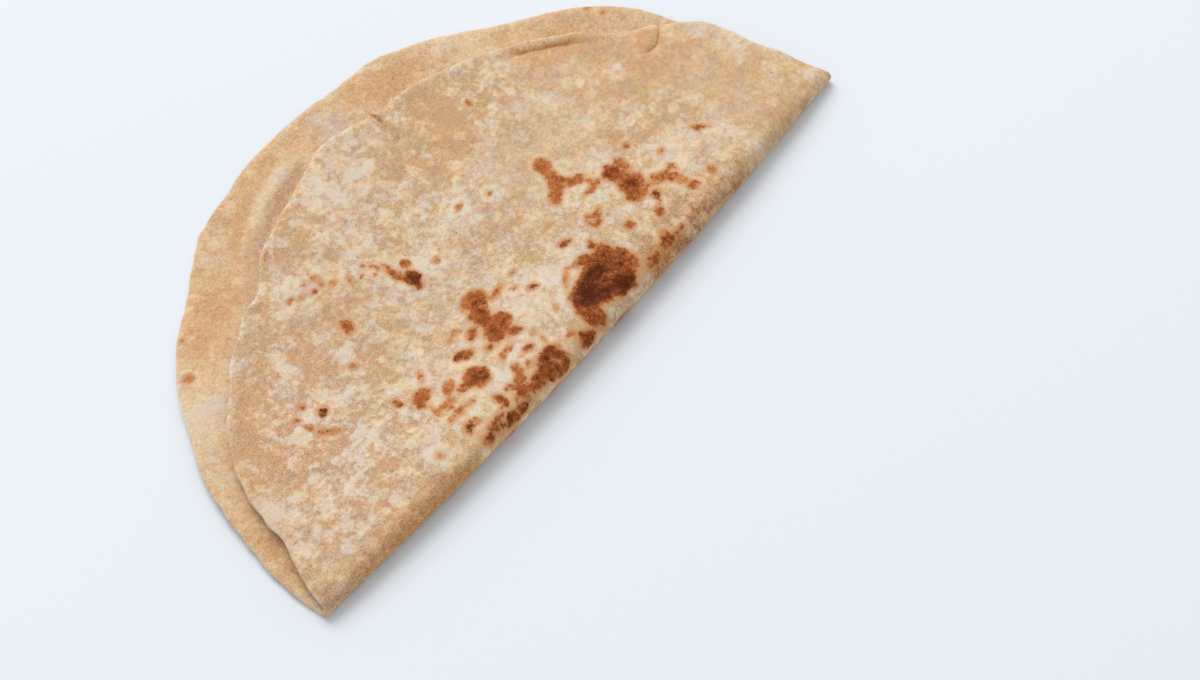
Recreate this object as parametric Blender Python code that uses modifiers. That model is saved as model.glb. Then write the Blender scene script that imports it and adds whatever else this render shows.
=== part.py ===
"""A chapati folded in half: one thin round of flatbread, lying on its larger leaf.

The round is rolled out flat as a grid of faces, folded over a line that passes a little
beside its middle, and then given the thickness of the bread. The fold runs along X, with
its rounded edge at the front, and both leaves lie towards +Y on the surface below them.
Lengths are in metres and +Z is up.
"""

import math

import bpy
import numpy as np

# The round of bread before it is folded
ROUND_RADIUS = 0.1009
BREAD_THICKNESS = 0.0017
# The rim isn't a true circle about the middle of the fold line. Each swell says how many times
# it comes round, how far it stands out and in which direction (degrees) it stands out most.
# The first one is the fold's own offset from the middle of the round.
RIM_SWELLS = (
    (1, 0.0086, -78),
    (2, 0.0007, 6),
    (3, 0.0009, -160),
    (4, 0.0010, -43),
)
# Where the rim alone is dented (below 0) or drawn out: direction and half width in degrees, depth
RIM_DENTS = (
    (22, 7, 0.0043),
    (79, 5, -0.0012),
    (89, 6, 0.0024),
    (119, 5, -0.0019),
    (168, 8, -0.0029),
    (-16, 9, -0.0028),
)

# The fold
FOLD_RADIUS = 0.0033          # of the bread's middle layer, half way along the fold
TIP_RADIUS = 0.0012           # of the same at the two pinched ends
FOLD_BOW = 0.0035             # how far the fold stands forward half way along
SETTLE_LENGTH = 0.034         # how far behind the fold the upper leaf comes down on the lower

# The leaves
LEAF_GAP = 0.0005             # left between them where the upper one rests
LOWER_RIM_LIFT = 0.0012       # how far the lower leaf's rim curls up where it curls most
FLAT_SHARE = 0.6              # of the lower leaf, out from the fold's middle, lies quite flat
UPPER_WAVE = 0.0007           # half the height of the upper leaf's soft waves

# The mesh
COLUMNS = 44
FINEST_ROW = 0.0011           # rows are this far apart on the fold itself
COARSEST_ROW = 0.0056         # and at most this far apart towards the rims
ROW_GROWTH = 0.13             # how much a row widens for each metre away from the fold

CRUST_COLOUR = (0.62, 0.40, 0.23, 1.0)


def clear_scene():
    for old in list(bpy.data.objects):
        bpy.data.objects.remove(old, do_unlink=True)


def rim_distance(angle):
    """How far the rim is from the middle of the fold line, in the direction of angle."""
    distance = np.full_like(angle, ROUND_RADIUS)
    for count, size, peak in RIM_SWELLS:
        distance += size * np.cos(count * angle - math.radians(peak))
    for middle, half_width, size in RIM_DENTS:
        distance += size * np.exp(-(((np.degrees(angle) - middle) / half_width) ** 2))
    return distance


def row_places():
    """Where the rows of the grid cross the round, from -1 at one rim to 1 at the other."""
    away = [0.0]
    while away[-1] < ROUND_RADIUS:
        step = min(COARSEST_ROW, FINEST_ROW + ROW_GROWTH * away[-1])
        away.append(away[-1] + step)
    half = np.array(away) / away[-1]
    return np.concatenate((-half[:0:-1], half))


def round_from_square(across, up):
    """Turn points of a square, -1 to 1 each way, into points of the flat round of bread."""
    x = across * np.sqrt(1 - up**2 / 2)
    y = up * np.sqrt(1 - across**2 / 2)
    reach = rim_distance(np.arctan2(y, x))
    return x * reach, y * reach


def tip_share(along):
    """1 half way along the fold, falling to 0 at its two ends."""
    return np.clip(1 - (along / ROUND_RADIUS) ** 2, 0, 1)


def lower_leaf_height(along, back):
    """Middle of the bread in the lower leaf: flat where it rests, its rim curled up in places."""
    outward = np.hypot(along, back) / ROUND_RADIUS
    curved = np.clip((outward - FLAT_SHARE) / (1 - FLAT_SHARE), 0, 1.1) ** 2
    curl = 0.5 + 0.5 * np.cos(5 * np.arctan2(back, along) - 1.1)
    return BREAD_THICKNESS / 2 + LOWER_RIM_LIFT * curl * curved


def upper_leaf_wave(along, back):
    """The soft waves of the upper leaf, which never sink below where it rests."""
    ripple = np.sin(along / 0.016 + 0.9) * np.cos(back / 0.021 - 0.6 + along / 0.05)
    return UPPER_WAVE * (1 + ripple)


def folded(along, sheet):
    """Places in space of points of the flat round.

    along is the distance along the fold line. sheet is the distance from it over the bread:
    below 0 on the lower leaf and above 0 on the upper one.
    """
    radius = TIP_RADIUS + (FOLD_RADIUS - TIP_RADIUS) * np.sqrt(tip_share(along))
    quarter = math.pi / 2 * radius
    turn = np.clip(sheet, -quarter, quarter) / radius
    past = np.maximum(np.abs(sheet) - quarter, 0)
    front = -FOLD_BOW * tip_share(along)
    back = front + radius - radius * np.cos(turn) + past

    lower = lower_leaf_height(along, back)
    rest = lower + BREAD_THICKNESS + LEAF_GAP + upper_leaf_wave(along, back)
    crown = BREAD_THICKNESS / 2 + radius * (1 + np.sin(turn))
    come_down = np.clip(past / SETTLE_LENGTH, 0, 1)
    hold = (1 - come_down) ** 2 * (1 + 2 * come_down)
    upper = rest + (crown - rest) * hold
    height = np.where(sheet > 0, upper, crown + (lower - BREAD_THICKNESS / 2) * (1 - hold))
    return along, back, height


def rolled_round(name):
    """The flat grid that becomes the bread: one face deep, square, at its place in the row grid."""
    rows = row_places()
    bpy.ops.mesh.primitive_grid_add(x_subdivisions=COLUMNS, y_subdivisions=len(rows) - 1, size=2)
    sheet = bpy.context.active_object
    sheet.name = name
    sheet.data.name = name
    return sheet, rows


def chapati(name):
    bread, rows = rolled_round(name)
    points = np.empty(len(bread.data.vertices) * 3)
    bread.data.vertices.foreach_get("co", points)
    square = points.reshape(-1, 3)
    even_rows = np.linspace(-1, 1, len(rows))
    up = np.interp(square[:, 1], even_rows, rows)
    along, sheet = round_from_square(square[:, 0], up)
    x, y, z = folded(along, sheet)

    # The box's middle goes over the origin. The fold's crust stands half a thickness forward.
    x -= (x.min() + x.max()) / 2
    y -= (y.min() - BREAD_THICKNESS / 2 + y.max()) / 2
    bread.data.vertices.foreach_set("co", np.column_stack((x, y, z)).ravel())

    wall = bread.modifiers.new("Bread thickness", "SOLIDIFY")
    wall.thickness = BREAD_THICKNESS
    wall.offset = 0
    wall.use_even_offset = True
    bread.data.shade_smooth()
    return bread


def crust_material():
    crust = bpy.data.materials.new("Chapati crust")
    crust.use_nodes = True
    shader = crust.node_tree.nodes["Principled BSDF"]
    shader.inputs["Base Color"].default_value = CRUST_COLOUR
    shader.inputs["Roughness"].default_value = 0.8
    shader.inputs["Metallic"].default_value = 0.0
    return crust


def build():
    clear_scene()
    collection = bpy.data.collections.new("Folded chapati")
    bpy.context.scene.collection.children.link(collection)
    bread = chapati("chapati")
    bread.data.materials.append(crust_material())
    for home in list(bread.users_collection):
        home.objects.unlink(bread)
    collection.objects.link(bread)


build()
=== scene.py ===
# %% [markdown]
# # A chapati folded in half
#
# A chapati is a thin round of wholewheat dough, baked on a hot griddle. It bubbles there, and
# where a bubble touches the iron it browns, so the crust is a map of pale flour, soft tan and
# dark spots. This one is folded once and lies on its larger leaf. The packed model gives its
# true size, and everything below is laid out inside that box.

# %% The packed bread
import math
import random

import bpy
import numpy as np
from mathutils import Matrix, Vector, noise


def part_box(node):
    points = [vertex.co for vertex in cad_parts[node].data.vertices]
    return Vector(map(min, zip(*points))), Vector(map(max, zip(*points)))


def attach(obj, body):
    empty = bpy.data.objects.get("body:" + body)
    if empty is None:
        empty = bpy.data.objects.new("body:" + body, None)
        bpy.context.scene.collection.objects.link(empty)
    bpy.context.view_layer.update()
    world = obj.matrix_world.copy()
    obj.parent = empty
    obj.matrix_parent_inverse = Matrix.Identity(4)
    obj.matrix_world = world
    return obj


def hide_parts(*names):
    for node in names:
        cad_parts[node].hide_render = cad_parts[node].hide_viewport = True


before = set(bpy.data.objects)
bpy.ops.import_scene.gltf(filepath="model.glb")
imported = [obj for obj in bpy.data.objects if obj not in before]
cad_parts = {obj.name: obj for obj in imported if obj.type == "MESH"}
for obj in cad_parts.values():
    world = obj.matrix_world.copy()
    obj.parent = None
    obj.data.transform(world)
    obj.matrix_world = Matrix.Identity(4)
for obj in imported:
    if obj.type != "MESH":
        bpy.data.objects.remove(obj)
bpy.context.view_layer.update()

scene = bpy.context.scene
low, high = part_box("chapati")
print("packed bread, mm:", [round(1000 * (b - a), 1) for a, b in zip(low, high)])

# %% [markdown]
# ## The camera
#
# The bread is seen from a standing cook's height, with the fold running away to the right. A
# long lens keeps the far leaf from shrinking. The camera could be placed by three coordinates,
# but a direction in degrees and a distance are easier to imagine and to change. The method
# to_track_quat turns them into a rotation.

# %% Camera
CAMERA_HEIGHT_ANGLE = 55
CAMERA_SIDE_ANGLE = -52.6
CAMERA_DISTANCE = 0.660
CAMERA_AIM = Vector((-0.00147, -0.05237, 0.0))


def direction(side_angle, height_angle):
    """The way from the bread towards something seen from that side and height, in degrees."""
    side, up = math.radians(side_angle), math.radians(height_angle)
    return Vector((math.sin(side) * math.cos(up), -math.cos(side) * math.cos(up), math.sin(up)))


bpy.ops.object.camera_add()
camera = bpy.context.active_object
camera.name = "camera"
camera.data.lens = 80
camera.data.sensor_width = 36
to_camera = direction(CAMERA_SIDE_ANGLE, CAMERA_HEIGHT_ANGLE)
camera.location = CAMERA_AIM + CAMERA_DISTANCE * to_camera
camera.rotation_euler = (-to_camera).to_track_quat("-Z", "Y").to_euler()
scene.camera = camera
print("camera at, mm:", [round(1000 * c) for c in camera.location])

# %% [markdown]
# ## The round of dough
#
# Before it is folded the bread is a flat disc, rolled by hand, so its rim wanders. A rim could
# be drawn point by point, but a few cosine swells and soft dents say the same thing in a way
# that is easy to change. Fine noise adds the small nicks and cracks of a dry edge. A swell is
# its count round the rim, its size and where it peaks. A dent is its place, its half width and
# its size, and below 0 it goes inwards. Sizes are in metres, and places in degrees round the
# middle of the fold line.

# %% The rim of the flat round
ROUND_RADIUS = 0.1009
BREAD_THICKNESS = 0.0017
UPPER_NICKS = 0.0013             # depth of the wide nicks in the upper leaf, and in the lower
LOWER_NICKS = 0.0003
FINE_NICKS = 0.0005
WIDE_NICK_COUNT = 7              # how closely the nicks follow one another
FINE_NICK_COUNT = 17
RIM_SWELLS = ((1, 0.0086, -78), (2, 0.0007, 6), (3, 0.0009, -160), (4, 0.0010, -43))
RIM_DENTS = (
    (22, 7, 0.0043), (79, 5, -0.0012), (89, 6, 0.0024), (119, 5, -0.0019), (149, 4, 0.0011),
    (168, 8, -0.0029), (-16, 9, -0.0028), (-26, 4, -0.0021), (-39, 6, 0.0005), (-53, 8, -0.002),
    (-72, 3, 0.0009), (-80, 3, -0.0006), (-87, 12, -0.0016), (-102, 2, -0.0006), (-110, 2, 0.0006),
    (-121, 6, -0.0014), (-145, 4, -0.0007), (-163, 6, -0.0007), (-90, 60, 0.0007),
)


def rim_distance(angle):
    """How far the rim is from the middle of the fold line, in the direction of angle."""
    distance = np.full_like(angle, ROUND_RADIUS)
    for count, size, peak in RIM_SWELLS:
        distance += size * np.cos(count * angle - math.radians(peak))
    for middle, half_width, size in RIM_DENTS:
        distance += size * np.exp(-(((np.degrees(angle) - middle) / half_width) ** 2))
    return distance - rim_waver(angle)


def rim_waver(angle):
    """Small nicks along the rim, deeper in the upper leaf, up to about a millimetre."""
    around = [Vector((math.cos(a), math.sin(a), 0.0)) for a in angle.ravel()]
    wide = np.abs([noise.noise(p * WIDE_NICK_COUNT) for p in around]).reshape(angle.shape)
    fine = np.abs([noise.noise(p * FINE_NICK_COUNT) for p in around]).reshape(angle.shape)
    return np.where(angle > 0, UPPER_NICKS, LOWER_NICKS) * wide + FINE_NICKS * fine


sides = 1000 * rim_distance(np.radians([0, 90, 180, -90]))
print("rim to the right, behind, left and in front, mm:", sides.round(1))

# %% [markdown]
# ## A grid to shape
#
# Dough bends along straight lines, so the mesh should have straight rows along the fold. A
# primitive circle has a fan or rings, which crumple when they are folded. A grid has rows: its
# square is stretched to the round, and the rows are crowded together where the bread turns
# over. The grid operator adds all of it at once, and the places of its points are then worked
# out as arrays.

# %% The flat grid
COLUMNS = 214
FINEST_ROW = 0.00036             # depth of the rows at the fold, and away from it
COARSEST_ROW = 0.00100
ROW_GROWTH = 0.085


def row_places():
    """Where the rows cross the round, from -1 at one rim to 1 at the other."""
    away = [0.0]
    while away[-1] < ROUND_RADIUS:
        away.append(away[-1] + min(COARSEST_ROW, FINEST_ROW + ROW_GROWTH * away[-1]))
    half = np.array(away) / away[-1]
    return np.concatenate((-half[:0:-1], half))


rows = row_places()
bpy.ops.object.select_all(action="DESELECT")
bpy.ops.mesh.primitive_grid_add(x_subdivisions=COLUMNS, y_subdivisions=len(rows) - 1, size=2)
bread = bpy.context.active_object
bread.name = "folded_chapati"
bread.data.name = "folded_chapati"


def vertex_places(mesh):
    flat = np.empty(len(mesh.vertices) * 3)
    mesh.vertices.foreach_get("co", flat)
    return flat.reshape(-1, 3)


def rolled_out(square):
    """Places along and over the fold line for points of the square grid."""
    across = square[:, 0]
    up = np.interp(square[:, 1], np.linspace(-1, 1, len(rows)), rows)
    x = across * np.sqrt(1 - up**2 / 2)
    y = up * np.sqrt(1 - across**2 / 2)
    reach = rim_distance(np.arctan2(y, x))
    return x * reach, y * reach


along, over = rolled_out(vertex_places(bread.data))
print("grid of", COLUMNS, "by", len(rows) - 1, "faces")

# %% [markdown]
# ## Lines across the dough
#
# Creases, pleats and torn places follow short crooked lines on the sheet. Each line is a few
# points in millimetres: along the fold, then over the bread from the fold line. One helper
# measures how far every point of the bread is from such a line, how far along the line, and on
# which side of it.

# %% Lines on the sheet
def soft_step(value, start, end):
    """0 before start, 1 after end and an even rise between them."""
    share = np.clip((value - start) / (end - start), 0, 1)
    return share * share * (3 - 2 * share)


def beside_line(u, v, line):
    """Distance from a crooked line, the side of it (left is positive) and the share along it."""
    line = np.array(line, float)
    lengths = np.hypot(*(line[1:] - line[:-1]).T)
    nearest = np.full(u.shape, np.inf)
    side = np.zeros_like(u)
    share = np.zeros_like(u)
    before = 0.0
    for start, end, length in zip(line[:-1], line[1:], lengths):
        way = (end - start) / length
        forward = (u - start[0]) * way[0] + (v - start[1]) * way[1]
        sideways = (v - start[1]) * way[0] - (u - start[0]) * way[1]
        past = forward - np.clip(forward, 0, length)
        distance = np.hypot(past, sideways)
        closer = distance < nearest
        nearest = np.where(closer, distance, nearest)
        side = np.where(closer, sideways, side)
        share = np.where(closer, (before + forward) / lengths.sum(), share)
        before += length
    return nearest, side, share


def ridge(u, v, line, half_width):
    """1 on a line, fading away over half_width, and fading at the line's ends too."""
    distance, _, share = beside_line(u, v, line)
    ends = soft_step(share, -0.02, 0.15) * (1 - soft_step(share, 0.85, 1.02))
    return np.exp(-((distance / half_width) ** 2)) * ends


def cloud(u, v, size, seed):
    """Soft random hills, about -1 to 1, as wide as size."""
    return np.array([noise.noise(Vector((a / size, b / size, seed))) for a, b in zip(u, v)])


beside = ridge(np.array([5.0, 5.0]), np.array([0.0, 1.0]), ((0, 0), (10, 0)), 1.0)
print("a ridge on its line and one half width beside it:", beside.round(2))

# %% [markdown]
# ## Relief of the two leaves
#
# The lower leaf lies flat, with a low crest where the dough was dragged near its rim. The upper
# leaf rests on it. Its rim is a little thicker and curls up in one place, and a pleat was
# pinched into it near the far tip. The rim is tucked in at the back, a soft ridge slants away
# from the tuck, a long crease runs down towards the fold, and a thin flake is torn from the rim
# further left. Sculpting would do it too, but a line, a height and a half width are easy to
# move. All of it is smooth enough for the one-millimetre grid; anything finer is left to the
# material.

# %% Relief
CREST = ((-34.4, -88.3), (-27.7, -92.7), (-22, -95.5), (-16, -97.7), (-10.8, -98.4), (-4, -99.5))
CURLED_RIM = (42, 53)            # degrees round the fold's middle
PLEAT = ((90, 48.5), (86.5, 46.6), (84, 45.2), (81.5, 44.0), (79, 44.4), (76.5, 45.4))
RIM_TUCK = ((17.2, 93), (17.3, 87), (16.6, 80.5))
SLANTING_RIDGE = ((18.5, 78), (27.5, 64))
LONG_CREASE = ((47, 41), (52.5, 34), (61, 23.5), (66, 17))
TORN_FLAKE = ((-39, 80.2), (-35.4, 81.2), (-32, 83.2))
LOWER_RIDGE = (CREST, 0.0007, 2.0)      # a line, its height in metres and its half width
UPPER_RIDGES = (
    (RIM_TUCK, 0.0008, 1.3),
    (SLANTING_RIDGE, 0.0006, 2.4),
    (LONG_CREASE, 0.0003, 1.0),
    (TORN_FLAKE, 0.0005, 0.8),
)
THINNEST_SHARE = 0.50            # of the bread's thickness is left at the very rim
CURL_HEIGHT = 0.0009
CURL_GROOVE = 0.0003
RIM_SWELLING = 0.0005
RIM_SWELLING_CHANGE = 0.0004     # how much the swelling comes and goes along the rim
PLEAT_HEIGHT = 0.0009
PLEAT_GROOVE = 0.0004


def rim_inset(u, v):
    """Millimetres in from the rim, measured towards the middle of the fold line."""
    return 1000 * rim_distance(np.arctan2(v, u)) - np.hypot(u, v)


def in_window(value, start, end, fade):
    """1 between start and end, fading to 0 on either side."""
    return soft_step(value, start - fade, start) * (1 - soft_step(value, end, end + fade))


def wall_share(u, v):
    """The bread's thickness as a share of the whole: it thins and rounds off at the rim."""
    full = soft_step(rim_inset(u, v), -0.2, 2.0) ** 0.5
    return THINNEST_SHARE + (1 - THINNEST_SHARE) * full


def lower_relief(u, v):
    """Metres that the crest adds to the lower leaf."""
    line, height, half_width = LOWER_RIDGE
    return height * ridge(u, v, line, half_width)


def upper_relief(u, v):
    """Metres that the rim, the curl, the pleat and the ridges add to the upper leaf."""
    angle = np.degrees(np.arctan2(v, u))
    inset = rim_inset(u, v)
    curl = in_window(angle, *CURLED_RIM, 5)
    lip = np.exp(-((inset / 1.7) ** 2))
    groove = np.exp(-(((inset - 3.1) / 1.1) ** 2))
    lift = curl * (CURL_HEIGHT * lip - CURL_GROOVE * groove)
    swelling = RIM_SWELLING + RIM_SWELLING_CHANGE * cloud(u, v, 24.0, 8.0)
    lift += swelling * np.exp(-((inset / 2.4) ** 2))
    distance, side, share = beside_line(u, v, PLEAT)
    ends = soft_step(share, -0.6, 0.1) * (1 - soft_step(share, 0.75, 1.1))
    lift += PLEAT_HEIGHT * ends * soft_step(-side, 0.0, 1.6) * np.exp(-((distance / 4) ** 2))
    lift -= PLEAT_GROOVE * ends * np.exp(-((distance / 1.1) ** 2))
    for line, height, half_width in UPPER_RIDGES:
        lift += height * ridge(u, v, line, half_width)
    return lift


tuck = upper_relief(np.array([RIM_TUCK[1][0]]), np.array([RIM_TUCK[1][1]], float))
print("the tuck stands up by, mm:", (1000 * tuck).round(2))

# %% [markdown]
# ## Folding
#
# The bread bends round a small cylinder that narrows to the pinched ends, and then the upper
# leaf comes down on the lower one over a few centimetres. From there on its height is the lower
# leaf's height plus the bread, a small gap and something more than nothing, so the two never
# cut into each other. This is worked out and not simulated: a cloth simulation would flop like
# a napkin, while baked dough keeps a stiff, even roll.

# %% The fold
FOLD_RADIUS = 0.0033             # half way along the fold, and at its two ends
TIP_RADIUS = 0.0012
FOLD_BOW = 0.0035                # how far the middle of the fold stands out in front
SETTLE_LENGTH = 0.034            # over which the upper leaf comes down on the lower one
LEAF_GAP = 0.0004
FLAT_SHARE = 0.6                 # the middle of the lower leaf that lies quite flat
LOWER_RIM_LIFT = 0.0012
RIM_CURLS = 5                    # times that the lower rim rises and falls round the whole
UPPER_WAVE = 0.0007
WAVE_ALONG = 0.016
WAVE_BACK = 0.021
WAVE_SLANT = 0.05
SMALL_HILLS = 0.00011
WIDE_HILLS = 0.00022
BETWEEN_HILLS = 0.0002           # keeps the upper leaf clear of the lower one between hills


def tip_share(along):
    """1 half way along the fold, falling to 0 at its two ends."""
    return np.clip(1 - (along / ROUND_RADIUS) ** 2, 0, 1)


def lower_leaf_height(along, back):
    """Middle of the bread in the lower leaf: flat where it rests, its rim curled up in places."""
    angle = np.arctan2(back, along)
    outward = np.hypot(along, back) / ROUND_RADIUS
    curved = np.clip((outward - FLAT_SHARE) / (1 - FLAT_SHARE), 0, 1.1) ** 2
    curl = 0.5 + 0.5 * np.cos(RIM_CURLS * angle - 1.1)
    return BREAD_THICKNESS / 2 + LOWER_RIM_LIFT * curl * curved


def folded(along, sheet, relief_above, relief_below, share):
    """Places of the middle of the bread. The way over the sheet is above 0 in the upper leaf."""
    radius = TIP_RADIUS + (FOLD_RADIUS - TIP_RADIUS) * np.sqrt(tip_share(along))
    quarter = math.pi / 2 * radius
    turn = np.clip(sheet, -quarter, quarter) / radius
    past = np.maximum(np.abs(sheet) - quarter, 0)
    front = -FOLD_BOW * tip_share(along)
    back = front + radius - radius * np.cos(turn) + past

    thinned = BREAD_THICKNESS / 2 * (1 - share)
    lower = lower_leaf_height(along, back) + relief_below
    slanted = back / WAVE_BACK - 0.6 + along / WAVE_SLANT
    ripple = np.sin(along / WAVE_ALONG + 0.9) * np.cos(slanted)
    rest = lower + BREAD_THICKNESS + LEAF_GAP + UPPER_WAVE * (1 + ripple)
    rest = rest + np.maximum(relief_above, -UPPER_WAVE) - thinned
    crown = BREAD_THICKNESS / 2 + radius * (1 + np.sin(turn))
    come_down = np.clip(past / SETTLE_LENGTH, 0, 1)
    hold = (1 - come_down) ** 2 * (1 + 2 * come_down)
    upper = rest + (crown - rest) * hold
    lower = crown + (lower - thinned - BREAD_THICKNESS / 2) * (1 - hold)
    return along, back, np.where(sheet > 0, upper, lower)


def shaped(along, over):
    """Places in space of points of the flat round, before they are centred."""
    u, v = 1000 * along, 1000 * over
    hills = SMALL_HILLS * cloud(u, v, 4.5, 1.0) + WIDE_HILLS * cloud(u, v, 13.0, 2.0)
    above = upper_relief(u, v) + hills + BETWEEN_HILLS
    return folded(along, over, above, lower_relief(u, v), wall_share(u, v))


x, y, z = shaped(along, over)
middle = (low + high) / 2
x = x + middle.x - (x.min() + x.max()) / 2
y = y + low.y - (y.min() - BREAD_THICKNESS / 2)
bread.data.vertices.foreach_set("co", np.column_stack((x, y, z)).ravel())
print("height of the fold, mm:", round(1000 * (z.max() + BREAD_THICKNESS / 2), 1))

# %% [markdown]
# ## Thickness
#
# A Solidify modifier gives the sheet its two faces and a rim between them. A vertex group thins
# the bread towards the rim, which rounds the edge off without extra faces. The modifier also
# fills a group with the points of the inner face, so that the two sides of the bread can be
# browned differently. The places on the flat sheet are kept as attributes, which the modifier
# copies to both faces.

# %% Solidify
def keep_numbers(mesh, name, values):
    attribute = mesh.attributes.get(name) or mesh.attributes.new(name, "FLOAT", "POINT")
    attribute.data.foreach_set("value", np.asarray(values, np.float32))


def kept_numbers(mesh, name):
    values = np.empty(len(mesh.vertices), np.float32)
    mesh.attributes[name].data.foreach_get("value", values)
    return values.astype(float)


FACES_APART = 4.0                # millimetres in the patterns, so the two faces differ
keep_numbers(bread.data, "along_fold", 1000 * along)
keep_numbers(bread.data, "over_fold", 1000 * over)

thickness_group = bread.vertex_groups.new(name="thickness")
bread.vertex_groups.new(name="inner face")
for index, share in enumerate(wall_share(1000 * along, 1000 * over)):
    thickness_group.add([index], share, "REPLACE")

wall = bread.modifiers.new("Bread thickness", "SOLIDIFY")
wall.thickness = BREAD_THICKNESS
wall.offset = 0
wall.use_even_offset = True
wall.vertex_group = "thickness"
wall.shell_vertex_group = "inner face"
bpy.ops.object.modifier_apply(modifier=wall.name)
bread.data.shade_smooth()

u = kept_numbers(bread.data, "along_fold")
v = kept_numbers(bread.data, "over_fold")
inner_index = bread.vertex_groups["inner face"].index
inner = np.array([any(g.group == inner_index for g in point.groups) for point in bread.data.vertices])
places = bread.data.attributes.new("on_the_sheet", "FLOAT_VECTOR", "POINT")
depth_in_pattern = np.where(inner, FACES_APART, 0.0)
on_sheet = np.column_stack((u, v, depth_in_pattern)) / 1000
places.data.foreach_set("vector", on_sheet.astype(np.float32).ravel())
print("points on the outer and inner face:", int((~inner).sum()), int(inner.sum()))
print("triangles:", 2 * len(bread.data.polygons))

# %% [markdown]
# ## A map of the bread
#
# The bread's colours can be baked onto one flat square, so each point needs a place on it.
# An automatic unwrap would cut the crust into islands, but the bread came from a flat round, so
# its own two faces are the best map: a large disc for the outer face, with the rim's wall round
# it, and a smaller disc in the far corner for the inner face, most of which is hidden.

# %% UV map
OUTER_DISC = 0.355               # radius of each disc as a share of the square
INNER_DISC = 0.215
DISC_MARGIN = 0.012
WIDEST_RIM = 112.0               # millimetres from the middle of the fold line
WALL_WIDTH = 1.3                 # millimetres that the rim's wall takes on the map


def map_of_two_discs(mesh):
    """Give the mesh its UV map: a disc for each face, and the rim's wall round the outer one."""
    corner_vertex = np.empty(len(mesh.loops), np.int32)
    mesh.loops.foreach_get("vertex_index", corner_vertex)
    face_of_corner = np.repeat(np.arange(len(mesh.polygons)), [f.loop_total for f in mesh.polygons])
    inner_corners = np.bincount(face_of_corner, inner[corner_vertex])
    all_corners = np.bincount(face_of_corner)
    inside_face = (inner_corners == all_corners)[face_of_corner]

    a, b = u[corner_vertex], v[corner_vertex]
    reach = np.hypot(a, b)
    outwards = 1 + WALL_WIDTH * (inner[corner_vertex] & ~inside_face) / np.maximum(reach, 1)
    outer_middle = DISC_MARGIN + OUTER_DISC
    inner_middle = 1 - DISC_MARGIN - INNER_DISC
    size = np.where(inside_face, INNER_DISC, OUTER_DISC) / WIDEST_RIM
    middle = np.where(inside_face, inner_middle, outer_middle)
    places = np.column_stack((middle + a * outwards * size, middle + b * outwards * size))
    mesh.uv_layers.new(name="OFBake").uv.foreach_set("vector", places.astype(np.float32).ravel())
    return places


while bread.data.uv_layers:
    bread.data.uv_layers.remove(bread.data.uv_layers[0])
places = map_of_two_discs(bread.data)
print("map runs from", places.min(0).round(3), "to", places.max(0).round(3))

# %% [markdown]
# ## Where the griddle touched
#
# Each browned mark is a few soft ovals that melt together. An oval is its middle on the sheet,
# its long and short radius in millimetres, its turn in degrees and its heat, from a faint
# orange at 0.2 to charred at 1. Marks could be painted by hand instead, but ovals stay sharp
# at any size and can be nudged one by one. The right half has the great scorch at the fold and
# two branching ones behind it, with a trail of small spots.

# %% Marks on the right half
GREAT_SCORCH = (
    (10.8, 9.4, 9.79, 6.02, 0, 0.68), (14, 13.6, 5.2, 3.6, 10, 0.64),
    (3.2, 9.2, 4.74, 4.74, 20, 0.72), (-0.8, 6, 2.4, 3.4, -15, 0.62), (0.6, 3.4, 1.5, 1.8, 0, 0.56),
    (4.4, 10.2, 4.6, 3.4, 35, 0.94), (9.6, 12.4, 5.9, 2.4, 4, 0.9), (6.4, 7.4, 4.2, 2.5, -20, 0.86),
    (12, 5.2, 4.6, 2.3, -10, 0.9), (18, 10.4, 2.9, 5, 0, 0.64), (17.6, 15.6, 1.6, 2.2, -20, 0.58),
    (17.2, 18.6, 0.9, 1.6, -25, 0.52), (12, 17.2, 2.2, 1.6, 0, 0.56),
    (5.2, 17.4, 3.4, 0.7, 38, 0.15), (9.4, 19, 2.2, 0.7, 0, 0.15),
)
BOOT_SCORCH = (
    (31.4, 45.4, 2.4, 2.4, 0, 0.43), (30, 41.9, 2, 2.4, 0, 0.43), (29.2, 38.8, 2.7, 2.3, 0, 0.43),
    (26, 36.9, 3.1, 1.8, 36, 0.47), (24.4, 35.2, 1.28, 1.28, 0, 0.37),
    (32.2, 35.9, 3.1, 1.7, -28, 0.43),
)
TWIN_SCORCH = (
    (33.6, 30.1, 3.2, 0.95, 0, 0.39), (34.6, 32.2, 1.04, 0.95, 0, 0.33),
    (39.7, 29, 2.8, 2.2, 0, 0.68), (40.4, 31.4, 1.14, 1.14, 0, 0.45),
    (43.8, 28.9, 1.42, 2.6, 0, 0.47), (39.9, 25.8, 2.7, 2.3, 0, 0.49),
    (39.7, 22.8, 4, 3.5, 0, 0.53), (39.2, 22.9, 2.3, 2.1, 0, 0.72), (37.3, 19.8, 2.8, 2.5, 0, 0.57),
    (37.6, 18.1, 2.1, 1.14, 0, 0.43), (41.2, 19, 1.5, 1.14, 0, 0.33),
)
BERRY_SPOTS = (
    (44.6, 19, 1.03, 1.03, 0, 0.36), (46.3, 17, 2.1, 1.5, 0, 0.44),
    (46.7, 15.3, 1.37, 1.03, 0, 0.48), (42.9, 17.4, 1.17, 0.81, 0, 0.36),
    (50, 17.2, 0.94, 1.28, 0, 0.41), (47.6, 12.7, 1.5, 2.4, 0, 0.16), (48, 8.8, 1.5, 1.5, 0, 0.43),
    (54.8, 7.9, 1.3, 1, 30, 0.47),
)
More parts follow.
